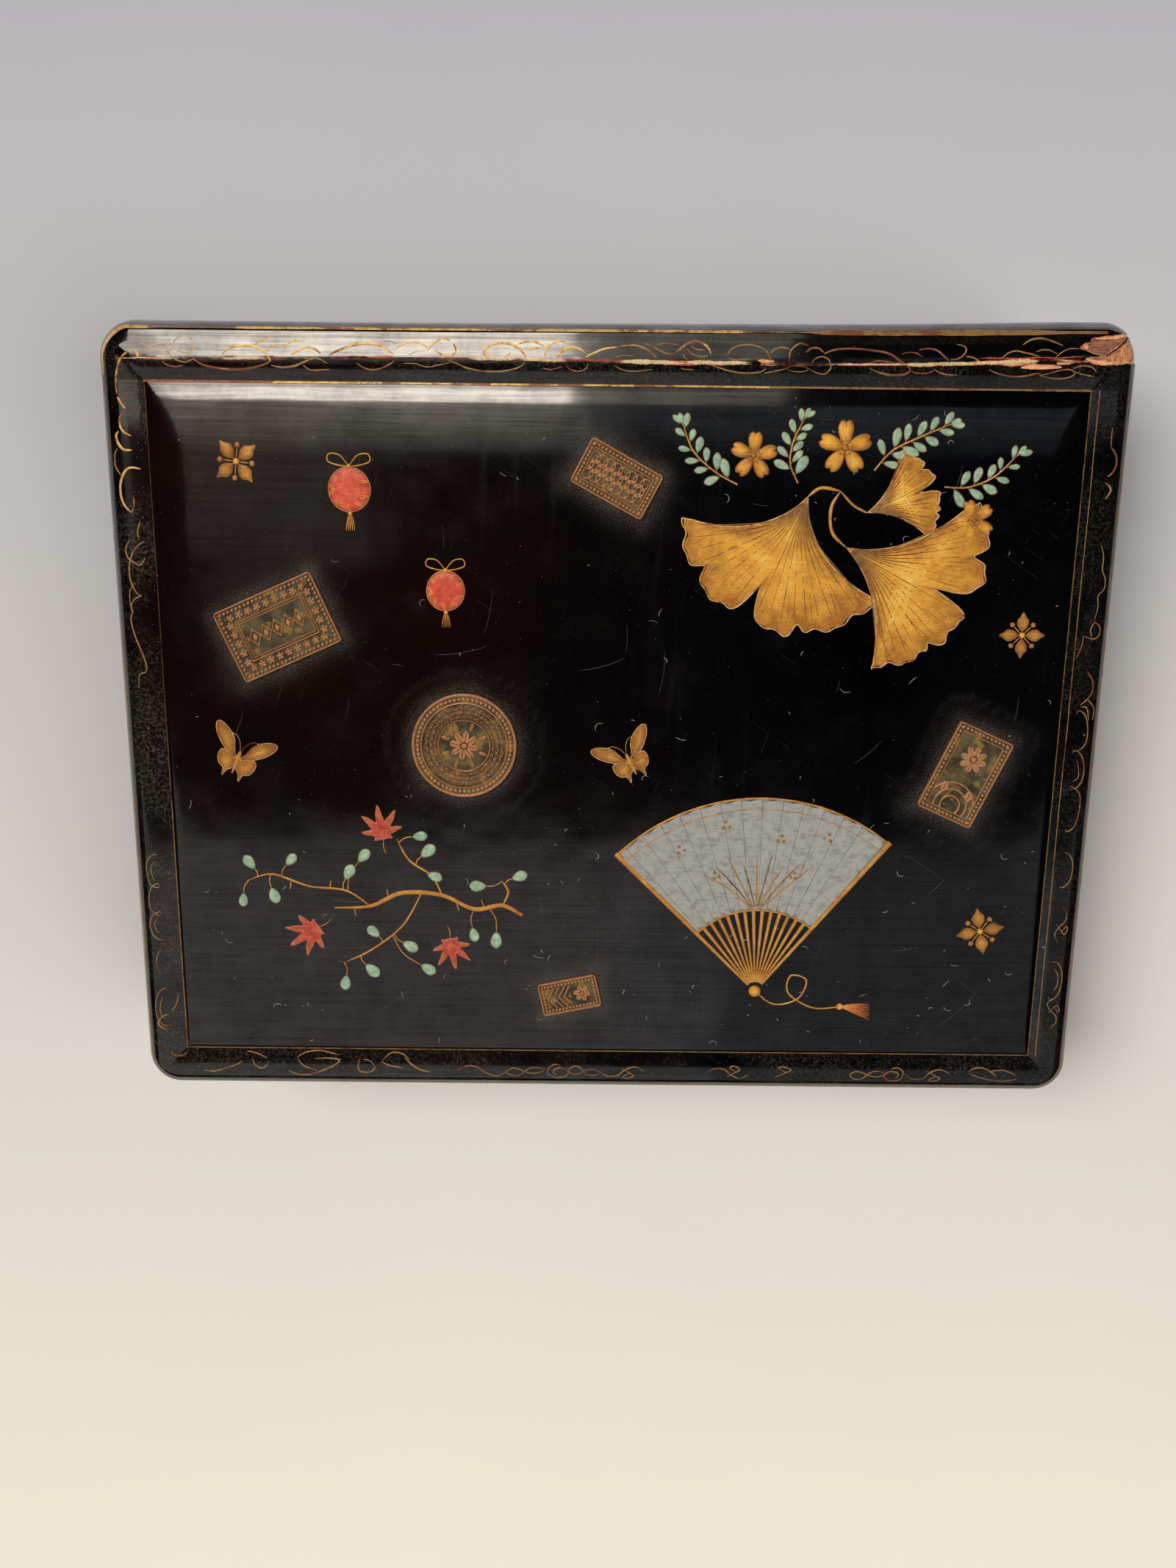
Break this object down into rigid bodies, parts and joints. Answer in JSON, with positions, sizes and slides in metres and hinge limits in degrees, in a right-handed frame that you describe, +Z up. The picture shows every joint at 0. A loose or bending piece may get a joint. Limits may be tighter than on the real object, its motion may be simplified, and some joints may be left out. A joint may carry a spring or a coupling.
{
  "type": "writing box",
  "caption": "Flat black-lacquered writing box: lift-off cushion-moulded lid, base with a standing lip, and lift-out trays holding inkstone, water dropper, brushes, ink stick, knife and awl.",
  "frame": {"origin": "centre of the underside of the base", "axes": "+Z up through the lid, X along the width, Y along the depth; the lid's long edge with the opened joint is at +Y"},
  "size_m": [0.24, 0.191, 0.0471],
  "materials": {
    "black_lacquer": "gloss black lacquer on wood, aged, with gold line ornament",
    "inner_lacquer": "satin black lacquer",
    "relief_copper": "aged copper-coloured relief with dark patina in its ground",
    "gold_fleck_lacquer": "brown-black lacquer with sprinkled gold flecks",
    "slate": "fine-ground dark slate with dried ink",
    "dropper_copper": "brown patinated copper",
    "bamboo": "polished bamboo",
    "horn": "polished black horn",
    "brush_hair": "pale hair, gathered to a point, ink-stained at the tip",
    "ink_cake": "moulded ink cake, satin",
    "tool_steel": "ground steel"
  },
  "bodies": {
    "base": {"base_bottom_board": "inner_lacquer", "base_rear_wall": "black_lacquer", "base_front_wall": "black_lacquer", "base_left_wall": "black_lacquer", "base_right_wall": "black_lacquer", "rear_lip_strip": "inner_lacquer", "front_lip_strip": "inner_lacquer", "left_lip_strip": "inner_lacquer", "right_lip_strip": "inner_lacquer"},
    "lid": {"lid_top_board": "black_lacquer", "lid_rear_moulding": "black_lacquer", "lid_front_moulding": "black_lacquer", "lid_left_moulding": "black_lacquer", "lid_right_moulding": "black_lacquer", "relief_medallion": "relief_copper", "relief_tablet_large": "relief_copper", "relief_tablet_tall": "relief_copper", "relief_tablet_medium": "relief_copper", "relief_tablet_small": "relief_copper"},
    "ink_board": {"ink_board": "gold_fleck_lacquer"},
    "inkstone": {"inkstone": "slate"},
    "water_dropper": {"water_dropper": "dropper_copper"},
    "tool_tray": {"tool_tray_floor": "gold_fleck_lacquer", "tool_tray_rear_wall": "gold_fleck_lacquer", "tool_tray_front_wall": "gold_fleck_lacquer", "tool_tray_left_wall": "gold_fleck_lacquer", "tool_tray_right_wall": "gold_fleck_lacquer"},
    "brush_tray": {"brush_tray_floor": "gold_fleck_lacquer", "brush_tray_rear_wall": "gold_fleck_lacquer", "brush_tray_front_wall": "gold_fleck_lacquer", "brush_tray_left_wall": "gold_fleck_lacquer", "brush_tray_right_wall": "gold_fleck_lacquer"},
    "large_brush": {"large_brush_shaft": "bamboo", "large_brush_ferrule": "horn", "large_brush_tuft": "brush_hair"},
    "small_brush": {"small_brush_shaft": "bamboo", "small_brush_ferrule": "horn", "small_brush_tuft": "brush_hair"},
    "ink_stick": {"ink_stick": "ink_cake"},
    "paper_knife": {"paper_knife_handle": "black_lacquer", "paper_knife_blade": "tool_steel"},
    "awl": {"awl_handle": "black_lacquer", "awl_spike": "tool_steel"}
  },
  "joints": [
    {"name": "lid_lift", "type": "slide", "parent": "base", "child": "lid", "axis": [0, 0, 1], "range_m": [0, 0.15]},
    {"name": "ink_board_lift", "type": "slide", "parent": "base", "child": "ink_board", "axis": [0, 0, 1], "range_m": [0, 0.0452]},
    {"name": "tool_tray_lift", "type": "slide", "parent": "base", "child": "tool_tray", "axis": [0, 0, 1], "range_m": [0, 0.0527]},
    {"name": "brush_tray_lift", "type": "slide", "parent": "base", "child": "brush_tray", "axis": [0, 0, 1], "range_m": [0, 0.0527]},
    {"name": "inkstone_lift", "type": "slide", "parent": "ink_board", "child": "inkstone", "axis": [0, 0, 1], "range_m": [0, 0.0182]},
    {"name": "water_dropper_lift", "type": "slide", "parent": "ink_board", "child": "water_dropper", "axis": [0, 0, 1], "range_m": [0, 0.0302]},
    {"name": "large_brush_lift", "type": "slide", "parent": "brush_tray", "child": "large_brush", "axis": [0, 0, 1], "range_m": [0, 0.0302]},
    {"name": "small_brush_lift", "type": "slide", "parent": "brush_tray", "child": "small_brush", "axis": [0, 0, 1], "range_m": [0, 0.0452]},
    {"name": "ink_stick_lift", "type": "slide", "parent": "tool_tray", "child": "ink_stick", "axis": [0, 0, 1], "range_m": [0, 0.0302]},
    {"name": "paper_knife_lift", "type": "slide", "parent": "tool_tray", "child": "paper_knife", "axis": [0, 0, 1], "range_m": [0, 0.0377]},
    {"name": "awl_lift", "type": "slide", "parent": "tool_tray", "child": "awl", "axis": [0, 0, 1], "range_m": [0, 0.0452]}
  ],
  "couplings": [
    {"joint": "ink_board_lift", "follows": "lid_lift", "ratio": 0.3},
    {"joint": "tool_tray_lift", "follows": "lid_lift", "ratio": 0.35},
    {"joint": "brush_tray_lift", "follows": "lid_lift", "ratio": 0.35},
    {"joint": "inkstone_lift", "follows": "lid_lift", "ratio": 0.12},
    {"joint": "water_dropper_lift", "follows": "lid_lift", "ratio": 0.2},
    {"joint": "large_brush_lift", "follows": "lid_lift", "ratio": 0.2},
    {"joint": "small_brush_lift", "follows": "lid_lift", "ratio": 0.3},
    {"joint": "ink_stick_lift", "follows": "lid_lift", "ratio": 0.2},
    {"joint": "paper_knife_lift", "follows": "lid_lift", "ratio": 0.25},
    {"joint": "awl_lift", "follows": "lid_lift", "ratio": 0.3}
  ]
}
